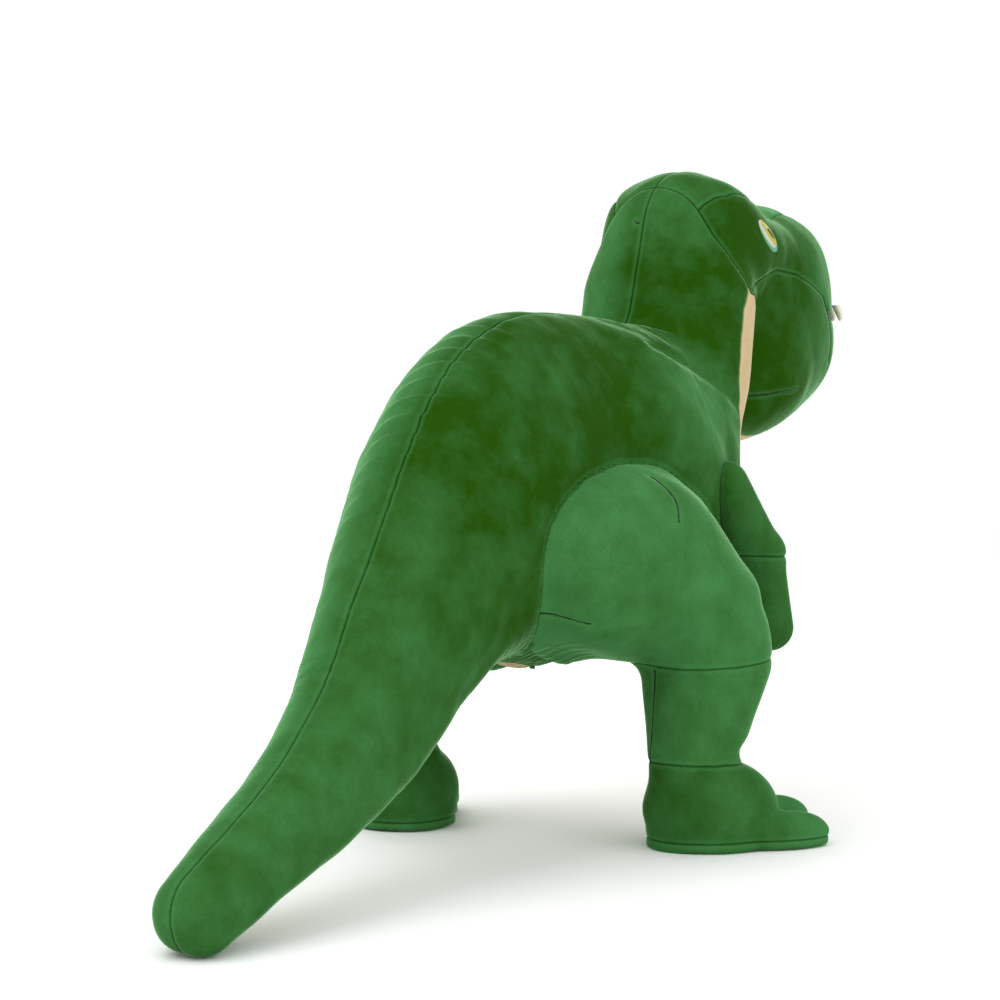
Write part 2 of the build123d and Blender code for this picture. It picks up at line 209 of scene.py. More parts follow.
def stuffing_lumps(p):
    """Cloth over loose stuffing is never quite even."""
    return 0.9 * lumps(p, 95, 11) + 0.5 * lumps(p, 42, 12)


def trunk_field(p):
    bent = p.copy()
    bent[:, 0] -= tail_bend(p[:, 1])
    bent[:, 0] -= trunk_lean(p[:, 1])
    trunk = spine_tube(bent, TRUNK_ROWS, TRUNK_NARROWING)
    leant = p - np.array([NECK_LEAN, 0, 0])
    return smooth_min(trunk, spine_tube(leant, NECK_ROWS, 0.0), NECK_BLEND)


# the stuffed forms of the head: forward, up, side, then radii across, along and up
SKULL = (239, 441, 0, 64, 79, 72)
MUZZLE = (380, 436, 0, 60, 102, 62)
BROW = (244, 472, 34, 25, 46, 28)
JAW = (367, 386, 0, 68, 118, 81)
JOWL = (316, 345, 0, 66, 63, 52)
TEMPLE = (288, 448, 33, 28, 70, 33)


def form(p, row):
    return ellipsoid(p, spot(*row[:3]), row[3:])


def head_field(p):
    fold = np.column_stack([np.abs(p[:, 0]), p[:, 1:]])
    upper = smooth_min(smooth_min(form(p, SKULL), form(p, MUZZLE), 26), form(fold, TEMPLE), 20)
    upper = smooth_min(upper, form(fold, BROW), 14)
    return smooth_min(upper, smooth_min(form(p, JAW), form(p, JOWL), 40), 18)


def skin_field(p):
    """Trunk, tail, neck and head together."""
    return smooth_min(trunk_field(p), head_field(p), 14) - stuffing_lumps(p)


HEAD_JOIN = (390.0, 410.0)  # between these heights the head's skin runs on into the neck's
NECK_JOIN = (403.0, 409.0)


def neck_skin(p):
    """The skin, with the neck running on inside the jaw so that the head can turn."""
    alone = trunk_field(p) - stuffing_lumps(p)
    return alone + smooth_step(*NECK_JOIN, p[:, 2]) * (skin_field(p) - alone)


def head_skin(p):
    """The skin, with the back of the jaw closed inside the neck."""
    alone = head_field(p) - stuffing_lumps(p)
    return alone + smooth_step(*HEAD_JOIN, p[:, 2]) * (skin_field(p) - alone)


# forward, up, out to the side, then radii across, along and up
THIGH = (-21, 202, 74, 45, 100, 65)
# forward, up, out, radius: the two ends of the knee and the two ends of the shin
SHANK = [(-6, 194, 91, 49), (21, 167, 114, 43), (17, 137, 117, 47), (-5, 66, 116, 32)]
FOOT_AT = (125, 22)  # out, forward


def leg_field(p, side):
    """Thigh, shin and foot of one leg."""
    sign, stride, toe_out = SIDES[side], LEGS[side]["stride"], LEGS[side]["toe_out"]

    def at(out, forward, up):
        return spot(forward + stride, up, sign * out)

    q = p * np.array([sign, 1, 1])
    thigh = form(q - np.array([0, -stride, 0]), THIGH)
    joints = [at(out, forward, up) for forward, up, out, _ in SHANK]
    knee = round_cone(p, joints[0], joints[1], SHANK[0][3], SHANK[1][3])
    shin = round_cone(p, joints[2], joints[3], SHANK[2][3], SHANK[3][3])
    leg = smooth_min(smooth_min(smooth_min(thigh, knee, 40), flush_thigh(p, side), 20), shin, 12)
    return smooth_min(leg, foot_field(p, at(*FOOT_AT, 0), sign * toe_out, sign), 16) - 0.7 * stuffing_lumps(p)


# the outline of the thigh panel on the flank: forward and up, seen from its side
THIGH_OUTLINE = [
    (-70, 118), (-94, 138), (-117, 155), (-131, 173), (-135, 190), (-137, 210),
    (-132, 227), (-118, 243), (-94, 256), (-60, 265), (-23, 268), (11, 266),
    (40, 260), (66, 248), (87, 236), (104, 205), (108, 160), (60, 120),
]
OUTLINE_MIDDLE = (-20.0, 180.0)
OUTLINE_SPOKES = [(f - OUTLINE_MIDDLE[0], u - OUTLINE_MIDDLE[1]) for f, u in THIGH_OUTLINE]
OUTLINE_POLAR = np.array(sorted((math.atan2(u, f), math.hypot(u, f)) for f, u in OUTLINE_SPOKES))


def inside_outline(p, side):
    """How far inside the outline of the thigh panel a point lies, seen from its side."""
    f = MIDDLE - p[:, 1] - LEGS[side]["stride"] - OUTLINE_MIDDLE[0]
    u = p[:, 2] - OUTLINE_MIDDLE[1]
    reach = np.interp(np.arctan2(u, f), OUTLINE_POLAR[:, 0], OUTLINE_POLAR[:, 1], period=2 * math.pi)
    return reach - np.hypot(f, u)


def flush_thigh(p, side):
    """The thigh panel where it lies against the flank, a little proud of it inside its outline."""
    inside = inside_outline(p, side)
    rise = -4.0 + 11.0 * smooth_step(-12, 30, inside) * smooth_step(12, 36, SIDES[side] * p[:, 0])
    inner = 14 - SIDES[side] * p[:, 0]
    proud = trunk_field(p) - stuffing_lumps(p) - rise + 0.5
    return np.maximum(np.maximum(proud, -14 - inside), inner)


# behind the middle of the foot, up, then radii across, along and up
FOOT_FORM = (7, 26, 44, 50, 37)
# how far ahead, how far to the outer side, up, and the radii of each toe
TOES = [
    (38, 32, 11, 15, 32, 15),
    (44, -5, 15, 16, 32, 17),
    (38, -31, 15, 15, 30, 15),
]
SOLE_UP = 7.0


def foot_field(p, centre, toe_out, sign):
    """A foot with three toes and a flat sole, centre on the floor."""
    q = (p - centre) @ turn(toe_out)
    q[:, 0] *= sign
    back, up, wide, long, _ = FOOT_FORM
    foot = ellipsoid(q, np.array([0, back, up]), FOOT_FORM[2:])
    for ahead, out, up, *radii in TOES:
        foot = smooth_min(foot, ellipsoid(q, np.array([out, -ahead, up]), radii), 7)
    pad = np.hypot(q[:, 0] / (wide - 3), (q[:, 1] - back) / (long - 2))
    pad = (pad - 1) * (wide - 3)
    for ahead, out, up, *radii in TOES:
        toe = np.hypot((q[:, 0] - out) / (radii[0] - 2), (q[:, 1] + ahead) / (radii[1] - 2))
        pad = smooth_min(pad, (toe - 1) * radii[0], 7)
    pad = -smooth_min(-pad, SOLE_UP + 3 - q[:, 2], 6)
    foot = smooth_min(foot, pad, 8)
    return -smooth_min(-foot, q[:, 2], 3)


# forward, up, side and radius of one arm
SHOULDER = (123, 254, 86, 23)
ELBOW = (166, 202, 101, 18)
HAND = (192, 144, 98, 19)


def arm_field(p, side):
    sign = SIDES[side]
    shoulder, elbow, hand = (spot(f, u, sign * out) for f, u, out, _ in (SHOULDER, ELBOW, HAND))
    upper = round_cone(p, shoulder, elbow, SHOULDER[3], ELBOW[3])
    fore = round_cone(p, elbow, hand, ELBOW[3], HAND[3])
    return smooth_min(upper, fore, 8) - 0.4 * stuffing_lumps(p)


# ---- from fields to cloth
CORNERS = np.array([(1, 1, 1), (1, -1, -1), (-1, 1, -1), (-1, -1, 1)], float)


def slope(field, p, reach=0.6):
    total = np.zeros_like(p)
    for corner in CORNERS:
        total += corner * field(p + corner * reach)[:, None]
    return total / (4 * reach)


def settle(field, p, rounds=2):
    """Moves points onto the surface of a field."""
    for _ in range(rounds):
        g = slope(field, p)
        p = p - g * (field(p) / np.maximum((g * g).sum(1), 0.05))[:, None]
    return p


def sample(field, low, high, step):
    """Field values on a grid, worked out finely only near the surface."""
    block = 4
    cells = np.ceil((np.asarray(high) - low) / (step * block)).astype(int)
    shape = cells * block + 1
    axes = [low[i] + step * np.arange(shape[i]) for i in range(3)]
    coarse = np.stack(np.meshgrid(*[a[::block] for a in axes], indexing="ij"), -1)
    rough = field(coarse.reshape(-1, 3)).reshape(coarse.shape[:3])
    near = np.abs(rough) < step * block * 1.7
    live = np.zeros(cells, bool)
    nearest = np.full(cells, FAR)
    for corner in np.ndindex(2, 2, 2):
        cut = tuple(slice(c, c + n) for c, n in zip(corner, cells))
        live |= near[cut]
        nearest = np.where(np.abs(rough[cut]) < np.abs(nearest), rough[cut], nearest)
    values = np.full(shape, FAR, np.float32)
    values[:-1, :-1, :-1] = np.repeat(np.repeat(np.repeat(nearest, block, 0), block, 1), block, 2)
    inner = np.stack(np.meshgrid(*[np.arange(block + 1)] * 3, indexing="ij"), -1).reshape(-1, 3)
    index = (np.argwhere(live)[:, None] * block + inner).reshape(-1, 3)
    flat = np.unique(np.ravel_multi_index(index.T, shape))
    index = np.stack(np.unravel_index(flat, shape), 1)
    values.reshape(-1)[flat] = field(np.asarray(low) + step * index)
    return values


def surface(field, low, high, step):
    """Triangles over the zero surface of a field."""
    low = np.asarray(low, float)
    values = sample(field, low, high, step)
    inside = values < 0
    count = sum(
        inside[tuple(slice(c, c + n - 1) for c, n in zip(corner, inside.shape))].astype(np.int8)
        for corner in np.ndindex(2, 2, 2)
    )
    active = (count > 0) & (count < 8)
    number = np.full(active.shape, -1)
    number[active] = np.arange(active.sum())
    cell = np.argwhere(active)
    total, hits = np.zeros((len(cell), 3)), np.zeros(len(cell))
    corners = list(np.ndindex(2, 2, 2))
    for i, a in enumerate(corners):
        for b in corners[i + 1 :]:
            if sum(abs(u - v) for u, v in zip(a, b)) != 1:
                continue
            va, vb = (values[tuple((cell + c).T)].astype(float) for c in (a, b))
            crossed = (va < 0) != (vb < 0)
            share = np.where(crossed, va / np.where(crossed, va - vb, 1), 0)[:, None]
            total += np.where(crossed[:, None], np.array(a) + share * (np.array(b) - np.array(a)), 0)
            hits += crossed
    points = (cell + total / hits[:, None]) * step + low
    quads = []
    for axis in range(3):
        side = np.moveaxis(inside, axis, 0)
        ids = np.moveaxis(number, axis, 0)
        i, j, k = np.argwhere((side[:-1] != side[1:])[:, 1:-1, 1:-1]).T
        quad = np.stack([ids[i, j, k], ids[i, j + 1, k], ids[i, j + 1, k + 1], ids[i, j, k + 1]], 1)
        outward = side[i, j + 1, k + 1]
        if axis == 1:
            outward = ~outward
        quads.append(np.where(outward[:, None], quad, quad[:, ::-1]))
    quads = np.vstack(quads)
    points = settle(field, points)
    faces = np.vstack([quads[:, (0, 1, 2)], quads[:, (0, 2, 3)]])
    return points, faces


def turned(faces, first):
    """The corners of each triangle, the given one first."""
    pick = np.arange(len(faces))
    return [faces[pick, (first + i) % 3] for i in range(3)]


def score(points, faces, value, snap):
    """Adds vertices where value crosses 0, so that edges run along that line."""
    value = np.where(np.abs(value) < snap, 0.0, value)
    side = np.sign(value).astype(int)
    signs = side[faces]
    crossed = (signs.min(1) < 0) & (signs.max(1) > 0)
    kept, work, signs = faces[~crossed], faces[crossed], signs[crossed]
    pairs = np.sort(np.vstack([work[:, (0, 1)], work[:, (1, 2)], work[:, (2, 0)]]), axis=1)
    pairs = pairs[side[pairs[:, 0]] * side[pairs[:, 1]] < 0]
    keys, index = np.unique(pairs[:, 0] * len(points) + pairs[:, 1], return_index=True)
    a, b = pairs[index].T
    share = (value[a] / (value[a] - value[b]))[:, None]
    fresh = points[a] + share * (points[b] - points[a])

    def between(u, v):
        key = np.minimum(u, v) * len(points) + np.maximum(u, v)
        return len(points) + np.searchsorted(keys, key)

    touching = (signs == 0).any(1)
    new_faces = [kept]
    # one corner lies on the line: two triangles
    a, b, c = turned(work[touching], np.argmax(signs == 0, axis=1)[touching])
    p = between(b, c)
    new_faces += [np.column_stack([a, b, p]), np.column_stack([a, p, c])]
    # one corner alone on its side: three triangles
    rest = signs[~touching]
    lone = rest == -np.sign(rest.sum(1))[:, None]
    a, b, c = turned(work[~touching], np.argmax(lone, axis=1))
    p, q = between(a, b), between(a, c)
    new_faces += [np.column_stack([a, p, q]), np.column_stack([p, b, c]), np.column_stack([p, c, q])]
    return np.vstack([points, fresh]), np.vstack(new_faces)


def unit(vectors, least=1e-9):
    return vectors / np.maximum(np.linalg.norm(vectors, axis=1), least)[:, None]


def vertex_normals(points, faces):
    a, b, c = (points[faces[:, i]] for i in range(3))
    normal = np.cross(b - a, c - a)
    total = np.zeros_like(points)
    for i in range(3):
        np.add.at(total, faces[:, i], normal)
    return unit(total)


def half_edges(faces):
    return np.vstack([faces[:, (0, 1)], faces[:, (1, 2)], faces[:, (2, 0)]])


def seam_edges(faces, labels, plain):
    """Edges between panels, left out where the pair of labels is a plain cut."""
    edges = half_edges(faces)
    label = np.tile(labels, 3)
    key = np.minimum(*edges.T) * (faces.max() + 1) + np.maximum(*edges.T)
    order = np.argsort(key, kind="stable")
    same = np.nonzero(key[order][1:] == key[order][:-1])[0]
    one, other = order[same], order[same + 1]
    differ = label[one] != label[other]
    one, other = one[differ], other[differ]
    pairs = [tuple(sorted(pair)) for pair in zip(label[one], label[other])]
    sewn = np.array([pair not in plain for pair in pairs], bool)
    return edges[one[sewn]]


def distance_to(points, line_points, most=30.0):
    """Distance from every point to the nearest of the line points."""
    tree = KDTree(len(line_points))
    for i, point in enumerate(line_points):
        tree.insert(point, i)
    tree.balance()
    return np.minimum([tree.find(point)[2] for point in points], most)


def seam_points(points, edges):
    a, b = points[edges[:, 0]], points[edges[:, 1]]
    return np.vstack([a + (b - a) * share for share in (0.0, 0.25, 0.5, 0.75)])


def stitched_line(field, row):
    """A dart: a line through a few spots, laid onto the surface."""
    row = through([spot(*place) for place in row], 8)
    dense = []
    for a, b in zip(row, row[1:]):
        count = max(int(np.linalg.norm(b - a)), 1)
        dense += [a + (b - a) * i / count for i in range(count)]
    return settle(field, np.array(dense), 4)


# ---- materials
class Nodes:
    """A short way to write a material's nodes."""

    def __init__(self, name):
        self.material = bpy.data.materials.new(name)
        self.material.use_nodes = True
        self.tree = self.material.node_tree
        self.shader = self.tree.nodes["Principled BSDF"]

    def make(self, kind, sockets=(), **settings):
        node = self.tree.nodes.new(kind)
        for key, value in settings.items():
            setattr(node, key, value)
        for key, value in dict(sockets).items():
            self.feed(value, node.inputs[key])
        return node

    def feed(self, value, socket):
        if isinstance(value, bpy.types.NodeSocket):
            self.tree.links.new(value, socket)
        else:
            socket.default_value = value

    def maths(self, operation, a, b=0.0, clamp=False):
        node = self.make("ShaderNodeMath", {0: a, 1: b}, operation=operation, use_clamp=clamp)
        return node.outputs[0]

    def blur(self, size, detail=2.0, rough=0.5):
        """Noise with features of this size in millimetres."""
        if not hasattr(self, "place"):
            self.place = self.make("ShaderNodeTexCoord").outputs["Object"]
        sockets = {"Vector": self.place, "Scale": 1 / (size * MM), "Detail": detail, "Roughness": rough}
        return self.make("ShaderNodeTexNoise", sockets).outputs["Fac"]

    def attribute(self, name):
        return self.make("ShaderNodeAttribute", attribute_name=name).outputs["Fac"]

    def ramp(self, value, low, high, out_low=0.0, out_high=1.0):
        sockets = {"Value": value, "From Min": low, "From Max": high, "To Min": out_low, "To Max": out_high}
        return self.make("ShaderNodeMapRange", sockets, interpolation_type="SMOOTHSTEP").outputs["Result"]

    def mix(self, share, a, b):
        """Two colours mixed: inputs 6 and 7 and output 2 are the node's colour sockets."""
        return self.make("ShaderNodeMix", {0: share, 6: a, 7: b}, data_type="RGBA").outputs[2]

    def bump(self, height, distance, below=None):
        sockets = {"Height": height, "Distance": distance * MM, "Strength": 1.0}
        if below is not None:
            sockets["Normal"] = below
        return self.make("ShaderNodeBump", sockets).outputs["Normal"]

    def finish(self, colour, normal=None, **constants):
        """Feeds the shader, with constants set on its own sockets."""
        self.feed(colour, self.shader.inputs["Base Color"])
        for key, value in constants.items():
            self.shader.inputs[key.replace("_", " ")].default_value = value
        if normal is not None:
            self.feed(normal, self.shader.inputs["Normal"])
        return self.material


def linear(*colour):
    """A colour given as on a colour card: red, green and blue from 0 to 255."""
    return tuple(((c / 255 + 0.055) / 1.055) ** 2.4 if c > 10 else c / 255 / 12.92 for c in colour) + (1.0,)


def plush(name, dark, light, sheen_tint, patchy=1.0, sheen=1.0):
    """Short dense pile that looks lighter or darker where it has been stroked one way or the other, with painted
    sheen and painted light from each panel's tone on top.
    """
    n = Nodes(name)
    broad, narrow = n.maths("MULTIPLY", n.blur(80), 0.6), n.maths("MULTIPLY", n.blur(20), 0.45)
    pile_lightness = n.maths("ADD", broad, narrow)
    pile_lightness = n.maths("ADD", pile_lightness, n.maths("MULTIPLY", n.blur(6), 0.2))
    pile_lightness = n.maths("MULTIPLY", n.maths("SUBTRACT", pile_lightness, 0.625), patchy)
    # each panel's tone adds painted sheen and painted light where the pile catches the light, on top of the
    # random stroking
    pile_lightness = n.maths("ADD", pile_lightness, n.attribute("tone_and_painted_light"), clamp=True)
    colour = n.mix(pile_lightness, dark, light)
    fibre = n.blur(1.1, rough=0.7)
    colour = n.mix(n.ramp(fibre, 0.3, 0.7, 0.82, 1.0), (0.0, 0.0, 0.0, 1.0), colour)
    # the stitched line is dark, and the pile parts beside it
    seam = n.attribute("seam")
    beside = n.maths("MULTIPLY", n.ramp(seam, 0.6, 1.4), n.ramp(seam, 5.0, 1.6))
    colour = n.mix(n.maths("MULTIPLY", beside, 0.22), colour, light)
    line = n.ramp(seam, 0.25, 0.95, 0.5, 0.0)
    colour = n.mix(line, colour, (dark[0] * 0.25, dark[1] * 0.25, dark[2] * 0.25, 1.0))
    pile = n.bump(fibre, 0.22, n.bump(n.blur(12), 0.45))
    return n.finish(
        colour, pile, Roughness=0.92, Specular_IOR_Level=0.05,
        Sheen_Weight=sheen, Sheen_Roughness=0.2, Sheen_Tint=sheen_tint,
    )


def felt(name, colour, shade):
    """Pressed fibre with a matted surface."""
    n = Nodes(name)
    fibre = n.blur(1.6, 4, 0.75)
    mixed = n.mix(fibre, shade, colour)
    return n.finish(mixed, n.bump(fibre, 0.35), Roughness=0.95, Sheen_Weight=0.3, Specular_IOR_Level=0.15)


def thread(name, colour, shade):
    """Satin stitches lying side by side."""
    n = Nodes(name)
    place = n.make("ShaderNodeTexCoord").outputs["Object"]
    sockets = {"Vector": place, "Scale": 0.5 / (STITCH * MM), "Distortion": 1.5, "Detail": 1.0}
    wave = n.make("ShaderNodeTexWave", sockets, wave_type="BANDS", bands_direction="Z").outputs["Fac"]
    mixed = n.mix(wave, shade, colour)
    return n.finish(mixed, n.bump(wave, 0.22), Roughness=0.42, Specular_IOR_Level=0.5)


GREEN_SHEEN, TAN_SHEEN = (0.5, 0.95, 0.5, 1.0), (1.0, 0.93, 0.8, 1.0)
MATERIALS = {
    "green_plush": plush("green_pile", linear(33, 76, 2), linear(74, 140, 80), GREEN_SHEEN),
    "tan_plush": plush("tan_pile", linear(176, 150, 106), linear(222, 203, 162), TAN_SHEEN, 0.6, 0.4),
    "cream_felt": felt("tooth_felt", linear(240, 238, 222), linear(205, 200, 176)),
    "mouth_cloth": felt("mouth_cloth", linear(92, 30, 34), linear(54, 16, 20)),
    "white_thread": thread("white_stitches", linear(240, 240, 232), linear(196, 198, 188)),
    "yellow_thread": thread("yellow_stitches", linear(232, 224, 22), linear(172, 176, 10)),
    "black_thread": thread("black_stitches", linear(22, 22, 20), linear(4, 4, 4)),
    "mint_thread": thread("mint_stitches", linear(112, 200, 148), linear(70, 158, 106)),
    "dark_thread": felt("dark_stitches", linear(16, 44, 8), linear(8, 26, 4)),
    "polyester_stuffing": felt("stuffing_fibre", linear(245, 245, 242), linear(214, 214, 210)),
}


# ---- making pieces
def add(name, data):
    """A new object in the scene."""
    thing = bpy.data.objects.new(name, data)
    bpy.context.scene.collection.objects.link(thing)
    return thing


def make_piece(name, points, faces, material, loop_normals=None, values=None):
    mesh = bpy.data.meshes.new(name)
    mesh.from_pydata((points * MM).tolist(), [], [list(map(int, face)) for face in faces])
    mesh.polygons.foreach_set("use_smooth", [True] * len(mesh.polygons))
    for key, value in (values or {}).items():
        attribute = mesh.attributes.new(key, "FLOAT", "POINT")
        attribute.data.foreach_set("value", np.asarray(value, np.float32))
    if loop_normals is not None:
        mesh.normals_split_custom_set(loop_normals.tolist())
    mesh.materials.append(MATERIALS[material])
    piece = add(name, mesh)
    return piece


class Skin:
    """A stuffed body's cloth as one sheet of triangles, to be cut into panels."""

    def __init__(self, field, low, high, step):
        self.field, self.step = field, step
        self.points, self.faces = surface(field, low, high, step)

    def score(self, value_of, levels=(0.0,)):
        """Lays edges along a line, and along others at some distance from it."""
        for level in levels:
            value = value_of(*places_of(self.points)) - level
            self.points, self.faces = score(self.points, self.faces, value, 0.1 * self.step)

    def label(self, rules):
        """Names each triangle's panel: the first rule that is positive at its middle."""
        places = places_of(self.points[self.faces].mean(1))
        self.labels = np.full(len(self.faces), "", dtype="U24")
        for panel, rule in rules:
            self.labels[(self.labels == "") & (rule(*places) > 0)] = panel
        self.points = settle(self.field, self.points, 1)

    def sewn(self, plain=()):
        """Points along the sewn edges between panels."""
        edges = seam_edges(self.faces, self.labels, {tuple(sorted(pair)) for pair in plain})
        self.sewn_vertices = np.unique(edges)
        return seam_points(self.points, edges)

    def press(self, seams, deep=(), folds=()):
        """Sinks the cloth into its seams and folds, and puckers it beside them."""
        normals = vertex_normals(self.points, self.faces)
        self.seam = distance_to(self.points, seams) if len(seams) else np.full(len(self.points), 30.0)
        move = -1.2 * np.exp(-self.seam / 1.5) - 0.9 * np.exp(-self.seam / 6.0)
        move += 0.15 * lumps(self.points, 11, 21) * np.exp(-self.seam / 8.0)
        if len(deep):
            move -= 3.5 * np.exp(-((distance_to(self.points, deep) / 2.6) ** 2))
        for line, width, depth in folds:
            away = distance_to(self.points, line, 60.0)
            hollow = depth * np.exp(-((away / width) ** 2))
            shoulder = 0.2 * depth * np.exp(-(((away - 2 * width) / width) ** 2))
            move += -hollow + shoulder
        self.points = self.points + normals * move[:, None]
        self.normals = vertex_normals(self.points, self.faces)

    def panel(self, name, panels, material, tone_and_painted_light=0.3):
        """One piece: a closed layer of cloth over the named panels."""
        faces = self.faces[np.isin(self.labels, panels)]
        used, local = np.unique(faces, return_inverse=True)
        local = local.reshape(faces.shape)
        count = len(used)
        outer = self.points[used]
        own = vertex_normals(outer, local)
        shared = self.normals[used]
        on_seam = np.isin(used, self.sewn_vertices)
        shown = np.where(on_seam[:, None], own, shared)
        inner = outer - shared * CLOTH
        edges = half_edges(local)
        key = edges[:, 0] * count + edges[:, 1]
        rim = edges[~np.isin(key, edges[:, 1] * count + edges[:, 0])]
        quads = np.column_stack([rim[:, 1], rim[:, 0], rim[:, 0] + count, rim[:, 1] + count])
        points = np.vstack([outer, inner])
        a, b, c = (points[quads[:, i]] for i in range(3))
        flat = unit(np.cross(b - a, c - a))
        inward = local[:, ::-1]
        loop_normals = np.vstack([shown[local.ravel()], -shared[inward.ravel()], np.repeat(flat, 4, axis=0)])
        # the tone sets how light the pile is painted, and carries painted sheen and painted light
        if callable(tone_and_painted_light):
            tones_and_painted_light = tone_and_painted_light(*places_of(outer))
        else:
            tones_and_painted_light = np.full(count, tone_and_painted_light)
        values = {"seam": np.tile(self.seam[used], 2), "tone_and_painted_light": np.tile(tones_and_painted_light, 2)}
        all_faces = local.tolist() + (inward + count).tolist() + quads.tolist()
        piece = make_piece(name, points, all_faces, material, loop_normals, values)
        return piece


def wall(rings, around):
    """The faces between one ring of vertices and the next."""
    faces = []
    for i in range(rings - 1):
        for j in range(around):
            a, b = i * around + j, i * around + (j + 1) % around
            faces.append([a, a + around, b + around, b])
    return faces


def tube_piece(name, path, radii, material, flat=1.0, around=12):
    """A closed rod along a path, its section flattened across the second direction of its frame."""
    path = np.asarray(path, float)
    ahead = unit(np.gradient(path, axis=0))
    side = unit(np.cross(ahead, (0.0, 0.0, 1.0)), 1e-6)
    rise = np.cross(side, ahead)
    angle = np.arange(around) * 2 * math.pi / around
    ring = np.cos(angle)[None, :, None] * side[:, None] + flat * np.sin(angle)[None, :, None] * rise[:, None]
    points = (path[:, None] + np.asarray(radii, float)[:, None, None] * ring).reshape(-1, 3)
    faces = wall(len(path), around)
    ends = [path[0] - ahead[0] * radii[0] * 0.5, path[-1] + ahead[-1] * radii[-1] * 0.5]
    points = np.vstack([points, ends])
    last = (len(path) - 1) * around
    for j in range(around):
        k = (j + 1) % around
        faces.append([len(points) - 2, j, k])
        faces.append([len(points) - 1, last + k, last + j])
    return make_piece(name, points, faces, material)


def dart_stitches(name, line_points, field, depth):
    """The stitches at the bottom of a dart's groove."""
    path = line_points[:: max(len(line_points) // 24, 1)]
    out = unit(slope(field, path))
    radii = np.full(len(path), 0.55)
    return tube_piece(name, path - out * depth, radii, "dark_thread", around=6)


def patch(name, field, centre, facing, along, size, rise, material, shift=(0.0, 0.0)):
    """Embroidery: a low dome on the cloth. along is the long direction of its oval outline."""
    spokes, rings = 44, 9
    half_long, half_tall = size
    facing = facing / np.linalg.norm(facing)
    along = along - facing * (along @ facing)
    along /= np.linalg.norm(along)
    across = np.cross(facing, along)
    radius = np.sin(np.linspace(0, 0.5 * math.pi, rings + 1))[1:]
    angle = np.arange(spokes) * 2 * math.pi / spokes
    u = np.concatenate([[0], np.outer(radius, np.cos(angle)).ravel()]) * half_long + shift[0]
    v = np.concatenate([[0], np.outer(radius, np.sin(angle)).ravel()]) * half_tall + shift[1]
    height = np.concatenate([[1], np.repeat(np.sqrt(1 - 0.96 * radius**4), spokes)])
    base = centre + u[:, None] * along + v[:, None] * across + 25 * facing
    for _ in range(14):
        base = base - facing * field(base)[:, None] * 0.9
    out = unit(slope(field, base))
    top = base + out * (rise * height)[:, None]
    under = base - out * 1.5
    count = len(base)
    faces = []
    for s in range(spokes):
        e = (s + 1) % spokes
        faces += [[0, 1 + s, 1 + e], [count, count + 1 + e, count + 1 + s]]
        for ring in range(rings - 1):
            a, b = 1 + ring * spokes + s, 1 + ring * spokes + e
            c, d = count + a, count + b
            faces += [[a, a + spokes, b + spokes, b], [c, d, d + spokes, c + spokes]]
        a, b = 1 + (rings - 1) * spokes + s, 1 + (rings - 1) * spokes + e
        faces.append([a, count + a, count + b, b])
    return make_piece(name, np.vstack([top, under]), faces, material)


def tooth(field, root, height):
    """A rounded felt tooth that hangs from the mouth line."""
    base = settle(field, np.array([root]), 5)[0]
    out = slope(field, base[None])[0]
    out[2] = 0
    out /= np.linalg.norm(out)
    wide = np.cross(out, (0.0, 0.0, 1.0))
    rows, around = 9, 16
    half_wide, half_thick, sunk = 7.5, 3.6, 3
    points = []
    for i in range(rows):
        t = i / (rows - 1)
        size = math.sqrt(max(1 - t**2.2, 0.0)) + 0.02
        lean = out * (3.4 + 4.0 * math.sin(1.7 * t))
        for j in range(around):
            a = 2 * math.pi * j / around
            offset = wide * math.cos(a) * half_wide * size + out * math.sin(a) * half_thick * size
            points.append(base + lean + offset - np.array([0, 0, height * t - sunk]))
    faces = wall(rows, around)
    faces.append(list(range(around)))
    faces.append(list(range(len(points) - 1, len(points) - around - 1, -1)))
    return np.array(points), faces


# ---- where the panels meet
# these two run up, forward
FACE_LINE = [
    (0, 240), (310, 236), (345, 233), (375, 227), (400, 221), (413, 216),
    (433, 201), (454, 190), (472, 187), (489, 187), (525, 180),
]
THROAT_FORWARD = [(262, 160), (315, 188), (374, 194), (395, 200), (411, 214)]
# and these start with forward, then up or the half width of a panel
JAW_LINE = [(225, 412), (263, 423), (297, 433), (338, 433), (366, 426), (394, 417), (410, 403), (500, 396)]
TAN_HALF = [
    (-470, -8), (-400, 3), (-300, 8), (-60, 9), (0, 13), (50, 36),
    (100, 70), (150, 64), (180, 62), (198, 84), (320, 90),
]
BELLY_UP = [
    (-470, 22), (-366, 40), (-309, 60), (-248, 98), (-180, 150), (-110, 190),
    (0, 205), (100, 225), (160, 262),
]
BROW_HALF = [(170, 36), (187, 38), (200, 44), (216, 50), (235, 52), (262, 50), (302, 42)]
BRIDGE_HALF = [(300, 42), (318, 38), (350, 34), (394, 26), (440, 20), (480, 16)]
CHIN_HALF, CHIN_UP = 22.0, 318.0
BROW_END, BROW_LOW, BRIDGE_LOW = 302.0, 455, 425
CHEEK_FRONT = 404  # the jaw seam is the mouth from here on
FRONT_CUT = -10.0
JOIN_UP = 409  # above this the neck's cloth ends at the face seam, below it runs on inside the jaw
ELBOW_UP = 201.0


def line(rows, value):
    rows = np.array(rows, float)
    return np.interp(value, rows[:, 0], rows[:, 1])


def on_face(f, u, s):
    return f - line(FACE_LINE, u)


def under_jaw_line(f, u, s):
    return line(JAW_LINE, f) - u


